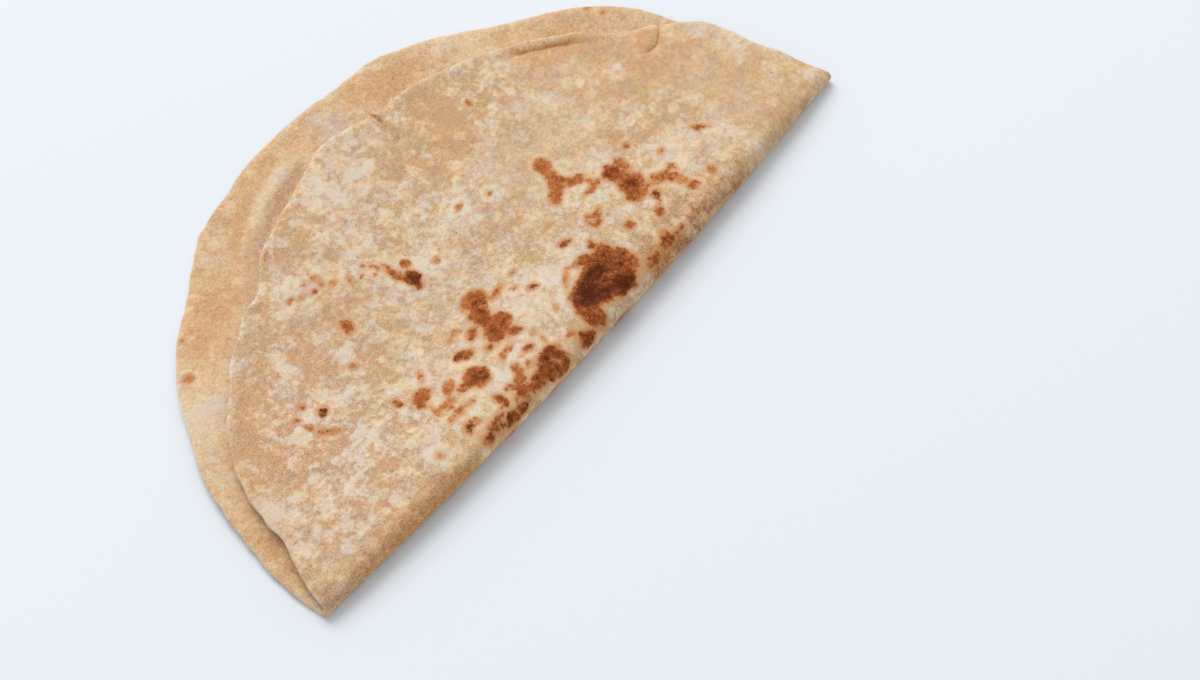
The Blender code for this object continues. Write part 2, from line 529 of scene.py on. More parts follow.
RIGHT_SPECKS = (
    (49.2, 30.9, 1, 0.9, 0, 0.38), (52.8, 22.6, 1.1, 0.9, 0, 0.36), (40.4, 15.1, 1.4, 1.1, 0, 0.68),
    (39.3, 14, 0.9, 0.6, 45, 0.45), (35.9, 10.9, 1.7, 1.1, 50, 0.52),
    (27.8, 14.5, 1.4, 1.4, 0, 0.47), (14.2, 24.9, 1.8, 1.1, -15, 0.6),
    (27.5, 24.6, 1.4, 0.9, 10, 0.36), (-1.5, 22.7, 1.3, 1, -15, 0.6),
    (-0.6, 29.9, 0.8, 0.6, 0, 0.4), (-4.2, 26.6, 0.7, 0.6, 0, 0.42), (15.2, 32, 1.3, 0.6, 10, 0.25),
    (65.4, 19, 1.9, 0.8, -50, 0.52), (30, 6.4, 1.2, 0.9, 0, 0.35), (22.8, 3.7, 2.2, 1, 0, 0.6),
    (28.9, 3.9, 2, 0.9, 0, 0.58), (30.7, 4.1, 1.2, 0.8, 0, 0.56), (34.3, 3.5, 1.5, 0.6, 0, 0.5),
)
print("ovals in the great scorch:", len(GREAT_SCORCH))

# %% [markdown]
# ## The middle and the fold
#
# Left of the great scorch the blisters stand closer and smaller: a broken chain that leads down
# to the fold, a round one beside it, and a band of spots that runs over the front of the fold.

# %% Marks in the middle and along the fold
MIDDLE_SCORCH = (
    (-13, 32.9, 4, 2.6, 0, 0.47), (-12.4, 31.2, 2.4, 2.1, 0, 0.66), (-8, 29.3, 2.4, 1.04, 10, 0.37),
    (-15.6, 28.6, 3, 2.7, 0, 0.57), (-16.2, 25.6, 2.5, 2.8, 0, 0.59),
    (-20.4, 26, 1.7, 0.92, 15, 0.43), (-21.9, 25.4, 1.19, 1.01, 0, 0.47),
    (-16.2, 22.3, 4.2, 3.1, 0, 0.55), (-18.7, 20.1, 2.1, 2.1, 0, 0.53),
    (-13.6, 22.6, 2, 2.5, 0, 0.55), (-15, 18, 2.2, 1.33, -52, 0.53),
    (-22.3, 19.6, 1.36, 1.03, 0, 0.49), (-22.7, 29.4, 1.6, 0.92, -40, 0.19),
)
COIN_SCORCH = (
    (-31.3, 16.1, 3.6, 3.5, 0, 0.6), (-31.7, 16.3, 2.3, 2, 0, 0.7),
    (-35.3, 16.6, 1.6, 1.4, 0, 0.46), (-37.8, 19.6, 3, 1.7, 35, 0.27),
    (-41.5, 16.4, 2.6, 1.4, 0, 0.25), (-44.6, 17.7, 1, 2, 0, 0.18), (-39.6, 12.5, 3, 1.1, 0, 0.2),
)
LEFT_SPECKS = (
    (-43, 23.4, 2.68, 1.92, 8, 0.49), (-45.2, 21.9, 1.3, 1.3, 0, 0.46),
    (-38.6, 28, 1.8, 0.8, 45, 0.2), (-48.1, 26.9, 1, 1.6, 0, 0.5),
    (-27.4, 23.2, 2.2, 1.58, -25, 0.52), (-28.5, 24, 1, 0.9, 0, 0.6),
    (-25.9, 29.2, 0.8, 0.6, 0, 0.3), (-44.6, 12.4, 0.7, 0.7, 0, 0.38),
    (-42.3, 12.3, 0.6, 0.9, 0, 0.38), (-44.4, 7.6, 1.6, 1.1, 50, 0.64),
    (-41.2, 7.6, 1.4, 1.4, 0, 0.22), (-22.5, 14.6, 2, 0.8, 40, 0.25),
    (-19.6, 15.4, 1.2, 0.8, 0, 0.28), (-17.4, 11.6, 1.4, 1.2, 0, 0.52),
    (-12.4, 13.4, 1.2, 0.7, 45, 0.27), (-13, 10.3, 0.9, 0.6, 45, 0.27),
    (-3.6, 14.5, 1.8, 0.8, 60, 0.16),
)
FOLD_BAND = (
    (-33.5, 6.9, 1.4, 2.3, 0, 0.56), (-39.4, 3.8, 3.36, 1.16, 10, 0.61),
    (-43.4, 2.8, 1.6, 1, 0, 0.52), (-29.5, 7.8, 1, 1, 0, 0.36), (-26.3, 7.1, 3.2, 1.4, 35, 0.46),
    (-24.1, 10, 1.9, 1, 50, 0.3), (-28.8, 4.3, 2.2, 1.2, 0, 0.53), (-34, 2.2, 4.32, 1.19, 0, 0.61),
    (-23.6, 3.9, 4, 1.7, 0, 0.57), (-16.6, 6.6, 3.78, 1.89, 5, 0.7),
    (-19.6, 4.2, 3.18, 1.91, 0, 0.64), (-14.2, 4.4, 1.58, 2.21, 0, 0.63),
    (-21, 8.5, 1.1, 1, 0, 0.38), (-16.6, 2.2, 3.4, 1.2, 0, 0.55), (-6.1, 2.8, 2.5, 1.6, 0, 0.65),
    (-7.9, 6, 1.4, 1, 0, 0.26),
)
print("ovals along the fold:", len(FOLD_BAND))

# %% [markdown]
# ## The left side, and a ring
#
# Further from the fold the iron was cooler, so the left has one dark spot with a tail, a chain
# of faint orange flecks and a few far specks. On the right one more bubble browned only at its
# foot. It could be a large oval with a pale one inside it, but marks can only melt together, so
# it is a ring of small ovals round a bare middle.

# %% Marks on the left
EYE_SCORCH = (
    (-16.5, 49.4, 2.26, 2.42, 0, 0.54), (-16.5, 48.8, 1.5, 1.6, 0, 0.86),
    (-17.3, 46.5, 1.22, 0.98, 0, 0.42), (-18.3, 52.4, 1.14, 1.6, 0, 0.44),
    (-18.2, 55.5, 0.98, 2.1, 0, 0.46), (-14.2, 53.4, 1.44, 1.5, 0, 0.38),
    (-8.8, 48.2, 1.2, 1.1, 0, 0.26), (-37.2, 52.9, 1.34, 1.5, 0, 0.44),
    (-38, 51, 1.34, 1.18, 0, 0.42), (-45.6, 43.2, 1, 1, 0, 0.4),
)
ORANGE_CHAIN = (
    (-40.6, 67.9, 1.1, 0.8, 0, 0.3), (-37.4, 66.7, 1, 0.7, 0, 0.28),
    (-35.3, 65.8, 0.9, 0.8, 0, 0.42), (-34.9, 69.2, 0.7, 0.6, 0, 0.2),
    (-31.3, 68, 0.8, 0.8, 0, 0.34), (-32, 65.6, 0.7, 1, 0, 0.26), (-30.2, 63.8, 1.1, 0.9, 0, 0.3),
    (-26.8, 61.3, 1, 0.7, 50, 0.36), (-21.2, 61.7, 0.6, 0.6, 0, 0.2), (-20, 60.2, 0.7, 0.9, 0, 0.2),
    (-23.9, 59.7, 0.6, 0.6, 0, 0.16), (-19.6, 58.1, 0.6, 0.6, 0, 0.3),
    (-21.2, 57.4, 1, 0.7, 0, 0.14),
)
FAR_SPECKS = (
    (-60.6, 39.4, 1.41, 1.23, 0, 0.7), (-66.5, 42, 1, 1, 0, 0.46), (-62.7, 44.1, 1, 1, 0, 0.44),
    (-66.1, 38.4, 1, 1.1, 0, 0.26), (-65.3, 35, 1.23, 0.9, -35, 0.54),
    (-63.4, 33.4, 1.53, 0.85, -42, 0.32), (-54.3, 7.9, 1.1, 1.4, 0, 0.16),
    (7.8, 54, 1.6, 0.9, 15, 0.2), (16.2, 50.6, 0.8, 0.6, 0, 0.2), (35.8, 73.9, 0.9, 0.9, 0, 0.32),
)

RING_SPOTS = 9


def ring_of_spots(middle_u, middle_v, radius_u, radius_v, width, heat):
    """A bubble that browned only at its foot."""
    spots = []
    for step in range(RING_SPOTS):
        angle = 2 * math.pi * step / RING_SPOTS
        spot_u = middle_u + radius_u * math.cos(angle)
        spot_v = middle_v + radius_v * math.sin(angle)
        spots.append((spot_u, spot_v, width, width, 0, heat))
    return spots


UPPER_MARKS = [
    *GREAT_SCORCH, *BOOT_SCORCH, *TWIN_SCORCH, *BERRY_SPOTS, *RIGHT_SPECKS,
    *MIDDLE_SCORCH, *COIN_SCORCH, *LEFT_SPECKS, *FOLD_BAND, *EYE_SCORCH,
    *ORANGE_CHAIN, *FAR_SPECKS, *ring_of_spots(24.2, 23.0, 1.5, 2.0, 0.75, 0.33),
]
print("ovals in the marks of the upper leaf:", len(UPPER_MARKS))

# %% [markdown]
# ## The sides that don't show
#
# The underside of the lower leaf met the griddle too, so it gets marks of the same kinds, set
# out by a seeded random generator: clusters of a few ovals round a hot middle, and many specks.
# The inner faces of the fold were baked more gently and carry only a few freckles.

# %% Marks elsewhere
oven = random.Random(11)


def scattered_marks(clusters, specks, nearest, farthest):
    """Random marks between two distances over the bread from the fold line, in millimetres."""
    marks = []
    for _ in range(clusters):
        heart_u, heart_v = oven.uniform(-75, 75), oven.uniform(nearest, farthest)
        heat = oven.uniform(0.42, 0.68)
        for _ in range(oven.randint(3, 6)):
            size = oven.uniform(1.6, 4.2)
            marks.append((
                heart_u + oven.gauss(0, 3.2), heart_v + oven.gauss(0, 3.2),
                size, size * oven.uniform(0.5, 0.9), oven.uniform(0, 180), heat,
            ))
        marks.append((heart_u, heart_v, 2.2, 1.8, oven.uniform(0, 180), heat + 0.25))
    for _ in range(specks):
        size = oven.uniform(0.6, 1.6)
        marks.append((
            oven.uniform(-88, 88), oven.uniform(nearest, farthest),
            size, size * oven.uniform(0.6, 1), oven.uniform(0, 180), oven.uniform(0.28, 0.6),
        ))
    return marks


ROUND_THE_FOLD = (
    (-20.5, -2, 3, 1.4, 0, 0.55), (-37, -1.2, 2.2, 1.2, 0, 0.5), (7, -1.8, 4.2, 1.6, 0, 0.6),
    (25.5, -1.5, 2.4, 1.2, 0, 0.48), (-58, -3, 1.8, 1.2, 0, 0.42), (52, -4, 1.6, 1.2, 0, 0.42),
)
UNDERSIDE_MARKS = [*ROUND_THE_FOLD, *scattered_marks(9, 60, -90, -16)]
INNER_MARKS = [
    (-72, -72.5, 1.5, 1.3, 0, 0.30),
    (-64.5, -82, 0.6, 0.6, 0, 0.40),
    (83, -68.5, 0.8, 0.8, 0, 0.34),
    (84.5, -64, 0.9, 0.8, 0, 0.30),
    *scattered_marks(2, 10, 10, 70),
]
print("ovals underneath and inside:", len(UNDERSIDE_MARKS), len(INNER_MARKS))

# %% [markdown]
# ## From ovals to numbers on the mesh
#
# Two numbers come from the ovals for every point of the crust: how deep it lies inside the
# outline of a mark, and how hot it got. The depth is a distance, so it runs smoothly between
# the mesh's points, and the material can cut a sharp, grainy outline from it. Neighbouring
# ovals melt together through a sum of exponentials, which is a soft kind of maximum. The heat
# is highest in the middle of an oval and falls towards its edge, more so in the large ones.
#
# The places are nudged by soft noise first, so that no oval looks drawn with a compass. Specks
# smaller than the mesh would fall between its points, so each small one is moved to the nearest
# point, less than half a millimetre away.

# %% Depth and heat of the marks
MELT = 0.35                      # millimetres over which neighbouring ovals run together
SMALL_MARK = 1.0
BLEND = 0.035                    # and the same for their heat
OUTSIDE_DEPTH = -4.0             # what the depth runs down to, far from any mark
NUDGE = 0.55                     # millimetres that noise moves the outline of a mark
NUDGE_WIDTH = 2.6


def marked(marks, u, v, chosen):
    """Depth inside the marks, in millimetres and below 0 outside them, and heat, 0 to 1."""
    a = u[chosen] + NUDGE * cloud(u[chosen], v[chosen], NUDGE_WIDTH, 5.0)
    b = v[chosen] + NUDGE * cloud(u[chosen], v[chosen], NUDGE_WIDTH, 9.0)
    melted = np.zeros(a.shape)
    hottest = np.ones(a.shape)
    for middle_u, middle_v, long_radius, short_radius, turn, hot in marks:
        if short_radius < SMALL_MARK:
            nearest = np.argmin(np.hypot(a - middle_u, b - middle_v))
            middle_u, middle_v = a[nearest], b[nearest]
        cosine, sine = math.cos(math.radians(turn)), math.sin(math.radians(turn))
        x = (a - middle_u) * cosine + (b - middle_v) * sine
        y = (b - middle_v) * cosine - (a - middle_u) * sine
        shorter = min(long_radius, short_radius)
        out = np.hypot(x / long_radius, y / short_radius)
        depth = shorter * np.where(out < 1, 0.6 * (1 - out**2), 1.2 * (1 - out))
        melted += np.exp(np.minimum(depth, 20) / MELT)
        fall = 0.55 * float(soft_step(np.float64(shorter), 0.8, 2.6))
        glow = hot * (1.10 - fall * soft_step(out, 0.45, 1.3)) * soft_step(depth, -2.0, -0.5)
        hottest += np.exp(glow / BLEND)
    depth = MELT * np.log(melted + np.exp(OUTSIDE_DEPTH / MELT))
    heat = BLEND * np.log(hottest)
    return depth, heat


depth = np.zeros(len(u))
heat = np.zeros(len(u))
for marks, chosen in ((UPPER_MARKS + UNDERSIDE_MARKS, ~inner), (INNER_MARKS, inner)):
    depth[chosen], heat[chosen] = marked(marks, u, v, chosen)
keep_numbers(bread.data, "scorch_depth", depth)
keep_numbers(bread.data, "scorch_heat", heat)
print("share of the points that are browned:", round(float((depth > 0).mean()), 3))

# %% [markdown]
# ## Flour and tan
#
# Between the marks the crust isn't one colour. Flour from rolling stays pale where the dough
# puffed away from the iron, and tan pools show where it lay against it. The patches are soft
# ovals again: middle, two radii, turn, and how pale (above 0) or tan (below 0) they are. They
# could be painted on in texture paint mode, but a list is easier to correct. They only set the
# drift of the colour over a few centimetres. The blotches and the grain inside a patch come
# from the material.

# %% Pale and tan patches
OVAL_BEND = 3.2                  # millimetres that noise bends the outlines of the ovals
OVAL_BEND_WIDTH = 11.0
bent_u = u + OVAL_BEND * cloud(u, v, OVAL_BEND_WIDTH, 15.0)
bent_v = v + OVAL_BEND * cloud(u, v, OVAL_BEND_WIDTH, 19.0)
# The tan ovals just over the fold line, a few millimetres from it, are painted shade on the front of
# the fold, where it turns away from the light.
OUTER_PATCHES = (
    (-77, 44, 14, 7, 62, -1), (-69, 56, 8, 5, 45, -0.9), (-53, 65, 6, 6, 0, -0.85),
    (-52, 49, 8, 6, 0, -0.7), (-33, 56, 9, 5, -30, -0.75), (-44, 60, 6, 4, 0, -0.45),
    (-27, 79, 7, 5, 0, -0.75), (-62, 13, 7, 6, -30, -0.6), (-86, 15, 5, 8, 0, -0.4),
    (-75, 3, 22, 4, 0, -0.5), (-50, 5, 8, 5, 0, -0.4), (15, 76, 9, 7, -20, -0.8),
    (31, 80, 6, 10, 15, -1.1), (27, 72, 4, 6, 0, -0.8), (41, 72, 6, 5, 0, -0.6),
    (4, 66, 7, 3, 0, -0.45), (5, 43, 13, 5, 0, -0.55), (21, 44, 5, 8, 0, -0.35),
    (32, 57, 8, 6, 0, -0.45), (13, 31, 8, 5, 0, -0.4), (60, 65, 11, 8, -35, -0.75),
    (71, 58, 6, 5, 0, -0.8), (78, 43, 12, 8, 0, -0.75), (84, 42, 4, 6, 0, -0.5),
    (62, 39, 10, 8, 0, -0.35), (62, 27, 8, 6, 0, -0.35), (89, 28, 5, 10, 0, -0.5),
    (88, 12, 9, 10, 0, -0.45), (77, 8, 8, 8, 0, -0.4), (-24, 38, 7, 5, 0, -0.3),
    (-39, 42, 6, 5, 0, -0.3), (-47, 36, 6, 4, 0, -0.35), (-12, 67, 6, 5, 0, -0.35),
    (-6, 83, 14, 8, 10, 0.3), (3, 91, 10, 5, 0, 0.35), (-14, 89, 8, 4, 0, 0.35),
    (4, 54, 10, 6, 0, 0.55), (21, 57, 5, 4, 0, 0.45), (37, 65, 8, 5, 0, 0.35),
    (-79, 22, 8, 7, 0, 0.45), (-64, 24, 9, 4, 0, 0.5), (-92, 24, 5, 8, 0, 0.4),
    (-52, 12, 7, 7, 0, 0.4), (-30, 11, 11, 8, 0, 0.6), (-5, 19, 12, 6, 20, 0.9),
    (8, 23, 10, 5, 0, 0.5), (-40, 26, 8, 6, 0, 0.45), (-14, 25, 8, 6, 0, 0.4),
    (28, 31, 9, 6, 0, 0.5), (40, 34, 6, 6, 0, 0.35), (53, 20, 12, 5, -25, 0.5),
    (63, 12, 6, 6, 0, 0.35), (94, 37, 4, 7, 0, 0.6), (98, 24, 3, 8, 0, 0.35),
    (-66, 43, 7, 7, 0, 0.35), (-57, 55, 5, 4, 0, 0.35), (-34, 65, 10, 4, 10, 0.35),
    (-20, 62, 8, 6, 0, 0.35), (-46, 69, 5, 4, 0, 0.3), (-14, 49, 5, 5, 0, 0.35),
    (-56, 66, 7, 5, -35, -0.55), (-62, 31, 12, 7, 0, -0.35), (-35, 65, 7, 4, 0, 0.4),
    (25, 67, 5, 6, 0, -0.85), (84, 46, 5, 5, 0, 0.75), (-7, 47, 12, 6, 0, 0.3),
    (20, 46, 10, 5, 0, 0.2), (-84, 36, 6, 5, 0, 0.25), (75, 23, 8, 8, 0, -0.25),
    (25, 4, 9, 5, 0, -1.1), (-6, 4, 8, 4, 0, -1.2), (-35, 84, 5, 4, 0, 0.6),
    (15, 86, 5, 5, 0, 0.35), (-75, 36, 6, 4, 0, -0.8), (-15, 56, 5, 4, 0, 0.7),
    (-56, 24, 5, 5, 0, -0.4), (-54, 66, 5, 4, 0, -0.65), (52, 46, 8, 5, 0, 0.3),
    (-39, 15, 7, 5, 0, 0.3), (8, 26, 14, 4, 0, -0.3), (20, 75, 8, 5, 0, -0.5),
    (6, 65, 5, 4, 0, -0.3), (55, 74, 4, 4, 0, 0.4), (86, 44, 4, 4, 0, 0.8), (-5, 70, 5, 6, 0, 0.35),
    (72, 29, 9, 6, 0, -0.3), (92, 26, 5, 6, 0, 0.45), (-95, 20, 4, 7, 0, 0.45),
    (-66, 66, 4, 4, 0, 0.5), (-55, 35, 4, 4, 0, -0.35), (-45, 55, 4, 4, 0, -0.35),
    (4, 36, 5, 4, 0, 0.35), (-15, 38, 4, 6, 0, 0.35), (-5, 55, 4, 4, 0, -0.3),
    (-30, 46, 8, 4, 0, 0.35), (-76, 5, 4, 4, 0, -0.45), (45, 15, 4, 4, 0, 0.4),
    (56, 5, 4, 4, 0, 0.35),
)
INNER_PATCHES = (
    (-44, -88, 22, 6, -31, -0.5), (30, -96, 16, 6, 12, -0.8), (74, -70, 14, 8, 38, -0.7),
    (-98, -20, 4, 12, 0, -0.25), (-90, -44, 5, 10, 0, 0.1), (-82, -56, 6, 6, 0, 0.4),
    (-68, -70, 7, 5, -45, 0.35), (-14, -93, 16, 2.5, -5, -0.6), (-77, -63, 6, 6, 0, 1.25),
    (0, -90, 15, 5, 0, 0.6), (-22, -95.5, 12, 2.5, -22, 0.25), (-22, -99, 8, 3, -14, -0.35),
    (34, -95, 5, 4, 0, -0.45), (45, -91, 5, 3, 0, -0.4), (47, -93, 6, 5, 0, 0.6),
    (-58, -81, 13, 5, -35, -0.4), (12, -100, 6, 4, 0, 0.6), (3, -102, 5, 3, 0, -0.4),
    (27, -97, 8, 3, 15, -0.4), (54, -84, 5, 4, 30, 0.6), (-39, -95, 7, 4, -25, 0.35),
)


def soft_ovals(ovals, chosen):
    """The sum of soft ovals at the chosen points."""
    total = np.zeros(int(chosen.sum()))
    for middle_u, middle_v, long_radius, short_radius, turn, amount in ovals:
        cosine, sine = math.cos(math.radians(turn)), math.sin(math.radians(turn))
        a, b = bent_u[chosen] - middle_u, bent_v[chosen] - middle_v
        x = (a * cosine + b * sine) / long_radius
        y = (b * cosine - a * sine) / short_radius
        total += amount * np.exp(-(x**2 + y**2))
    return total


def on_both_faces(outer_ovals, inner_ovals):
    """The same for every point, with each face's own ovals."""
    total = np.zeros(len(u))
    total[~inner] = soft_ovals(outer_ovals, ~inner)
    total[inner] = soft_ovals(inner_ovals, inner)
    return total


flour = on_both_faces(OUTER_PATCHES, INNER_PATCHES)
print("pale and tan patches:", len(OUTER_PATCHES), "outside and", len(INNER_PATCHES), "inside")

# %% [markdown]
# ## The drift of the hue
#
# Baked dough also changes hue from place to place: more orange where the oil in the flour
# darkened, more olive where it stayed damp, a little pink or green under the flour. Lightness
# and hue are kept apart, as warmth and blush, because a pale place may be warm or cool. Each
# has its own ovals, above 0 for orange or pink and below 0 for olive or green. An oval that is
# far larger than the bread shifts a whole face.

# %% Warmth and blush
WHOLE_FACE = 1000
# The strong warm oval on the fold line at the left end warms the painted shade of the fold's front.
OUTER_WARMTH = (
    (62, 64, 11, 6, -38, 0.7), (82, 46, 7, 4, 0, 0.8), (-78, 42, 10, 7, 62, 0.45),
    (-70, 54, 8, 5, 45, 0.45), (21, 69, 5, 7, 0, 0.7), (29, 80, 7, 8, 0, 0.45),
    (41, 71, 6, 5, 0, 0.4), (-27, 79, 5, 5, 0, 0.4), (-46, 67, 8, 4, 0, 0.35),
    (-61, 1, 16, 4, 0, 0.9), (-40, 14, 8, 4, 0, 0.45), (97, 9, 4, 4, 0, 0.6),
    (92, 28, 4, 7, 0, 0.35), (5, 43, 16, 8, 0, -0.2), (31, 57, 11, 7, 0, -0.2),
    (-8, 75, 8, 6, 0, -0.3), (-20, 38, 18, 8, 0, -0.12), (-1, 84, 10, 6, 0, -0.1),
    (10, 10, 15, 11, 0, -0.5), (52, 45, 16, 8, 0, 0.1), (75, 37, 9, 6, 0, 0.4),
    (-95, 18, 5, 10, 0, 0.35), (-55, 66, 8, 5, -35, -0.35), (-75, 55, 6, 5, 0, -0.3),
    (21, 25, 10, 6, 0, -0.3), (75, 15, 8, 5, 0, -0.3), (-62, 25, 12, 8, 0, -0.3),
    (42, 7, 12, 7, 0, -0.35), (86, 14, 12, 8, 0, 0.25), (60, 45, 16, 6, 0, 0.2),
    (-30, 76, 8, 5, 0, -0.25), (27, 76, 6, 4, 0, -0.25), (0, 65, 8, 5, 0, -0.25),
    (40, 65, 8, 5, 0, -0.25), (-50, 65, 7, 4, 0, -0.25), (-65, 46, 6, 5, 0, -0.25),
)
# The two ovals at the left tip, by the slit, paint warm shade there, like light that bounced between
# the leaves.
INNER_WARMTH = (
    (0, 0, WHOLE_FACE, WHOLE_FACE, 0, 0.32), (-94, -25, 10, 25, 0, 0.25), (-57, -81, 14, 6, -35, 1.3),
    (26, -97, 9, 4, 15, 1.5), (62, -79, 9, 5, 35, 1.1), (-94, -30, 5, 12, 0, 1),
    (-77, -64, 6, 6, 0, -0.15), (10, -100, 6, 4, 0, -0.6),
)
OUTER_BLUSH = (
    (-80, 25, 26, 34, 0, 0.62), (-52, 58, 24, 14, 35, 0.6), (-30, 76, 14, 7, 20, 0.4),
    (62, 64, 10, 8, -38, 0.5), (88, 40, 12, 12, 0, 0.7), (72, 48, 14, 10, 0, 0.25),
    (16, 67, 10, 8, 0, 0.3), (2, 12, 26, 12, 0, -0.45), (24, 28, 24, 10, 0, -0.25),
)
INNER_BLUSH = (
    (0, 0, WHOLE_FACE, WHOLE_FACE, 0, 0.35), (-57, -81, 14, 6, -35, 0.7), (26, -97, 9, 4, 15, 0.8),
    (-94, -40, 6, 20, 0, 0.3),
)
warmth = on_both_faces(OUTER_WARMTH, INNER_WARMTH)
blush = on_both_faces(OUTER_BLUSH, INNER_BLUSH)
print("warmth runs from", round(warmth.min(), 2), "to", round(warmth.max(), 2))

# %% [markdown]
# ## Even and grainy places
#
# Towards the right end the dough lay flat and baked smooth, while the left end is all blisters
# and loose flour. Smoothness calms the blotches, and below 0 it makes them livelier. Grit does
# the same for the finest grain.

# %% Smoothness and grit
OUTER_SMOOTH = (
    (84, 30, 22, 50, 0, 0.6), (-84, 45, 13, 14, 0, 0.4), (63, 62, 14, 11, 0, 0.4),
    (-75, 4, 26, 5, 0, 0.4), (30, 49, 20, 12, 0, 0.6), (-68, 30, 18, 24, 0, -0.7),
    (8, 40, 10, 9, 0, -0.3),
)
INNER_SMOOTH = (
    (0, 0, WHOLE_FACE, WHOLE_FACE, 0, 0.55),
)
OUTER_GRIT = (
    (78, 38, 26, 34, 0, -0.55), (45, 55, 16, 14, 0, -0.25), (0, 84, 16, 10, 0, -0.3),
    (35, 72, 18, 10, 0, -0.25), (-72, 42, 16, 22, 0, 0.25), (35, 10, 22, 9, 0, 0.2),
    (-35, 8, 20, 8, 0, 0.15),
)
INNER_GRIT = (
    (0, 0, WHOLE_FACE, WHOLE_FACE, 0, -0.12),
)
smoothness = np.clip(on_both_faces(OUTER_SMOOTH, INNER_SMOOTH), -0.8, 1)
grit = np.clip(on_both_faces(OUTER_GRIT, INNER_GRIT), -0.7, 0.4)
print("smoothness runs from", round(smoothness.min(), 2), "to", round(smoothness.max(), 2))

# %% [markdown]
# ## Bands along the creases
#
# Narrow bands follow the same lines as the relief: a crooked line, half the band's width, how pale it
# is and how orange. Most dark bands lie in hollows (the groove behind the curled rim, the pleat, the
# tuck, the long crease and the trough beside the crest) or on the fold line at the left. There they
# are painted shade, warmed to orange. The pale bands lie on crests and in one streak. The front of
# the fold gets painted shade all along, darkest to the right, where it turns away from the light, and
# so does the slit at the left tip.

# %% Bands and the painted shade of the fold
OUTER_BANDS = (
    (((55, 74.2), (58, 72.2), (63.5, 67.9), (68.5, 63.8), (72, 60.8)), 0.9, -1.4, 1.8),
    (((84.5, 49.5), (82.5, 47.6), (80, 46.8), (77.5, 47)), 1.9, -1.0, 0.9),
    (((90, 47.5), (86.5, 46.0), (82, 43.6)), 1.0, -1.0, 0.4),
    (((17.2, 92.5), (17.4, 87), (17.0, 82.5), (14.5, 80.8)), 0.9, -1.3, -0.3),
    (((9.5, 83.8), (15.5, 88)), 1.0, 1.0, 0.0),
    (((20.6, 77.5), (21.8, 72), (22.8, 66)), 1.3, 0.5, -0.2),
    (((-4.5, 67.9), (0, 67.2), (3, 66.3), (7, 64.6)), 0.8, -1.1, 0.3),
    (((-88, 0), (-74, 0.5), (-60, 0.5), (-47, 0)), 2.2, -1.2, 1.0),
    (((46.5, 41.5), (52.5, 34.5), (61.5, 23.5)), 0.7, -0.5, 0.2),
)
INNER_BANDS = (
    (((-33, -85.8), (-28, -88.4), (-21, -91.8), (-13.5, -94.4), (-1, -97.4)), 1.0, -0.8, -0.8),
    (CREST, 1.6, 0.9, -0.15),
    (((-36, -90.5), (-25, -98.3), (-16.5, -103), (-6, -104)), 3.2, -0.5, 0.4),
)
# Painted shade: a line, half its width and how dark. It darkens the front of the fold and the groove
# behind the curled rim.
FOLD_SHADE = (
    (((16, -1), (42, -1), (66, -1)), 9.0, 0.34),
    (((56, -1), (76, -1), (98, -1)), 4.5, 0.13),
    (((-103, -1), (-75, -1), (-44, -1)), 6.0, 0.14),
    (((-52, -2), (-10, -2), (24, -2)), 4.5, 0.14),
    (((55.5, 73.8), (60, 70.6), (64.5, 67.0), (70, 62.6)), 0.9, 0.22),
)
# Painted shade in the slit at the left tip, on the lower leaf beside the upper leaf's edge.
SLIT_SHADE = ((((-97.5, -12), (-96, -20), (-93, -30)), 1.6, 0.12),)

for bands, chosen in ((OUTER_BANDS, ~inner), (INNER_BANDS, inner)):
    for line, half_width, pale, orange in bands:
        band = ridge(u[chosen], v[chosen], line, half_width)
        flour[chosen] += pale * band
        warmth[chosen] += orange * band
tanned = np.zeros(len(u))
for bands, chosen in ((FOLD_SHADE, ~inner), (SLIT_SHADE, inner)):
    for line, half_width, dark in bands:
        band = dark * ridge(u[chosen], v[chosen], line, half_width)
        tanned[chosen] = np.maximum(tanned[chosen], band)
print("share of the points that are tanned:", round(float((tanned > 0.02).mean()), 3))
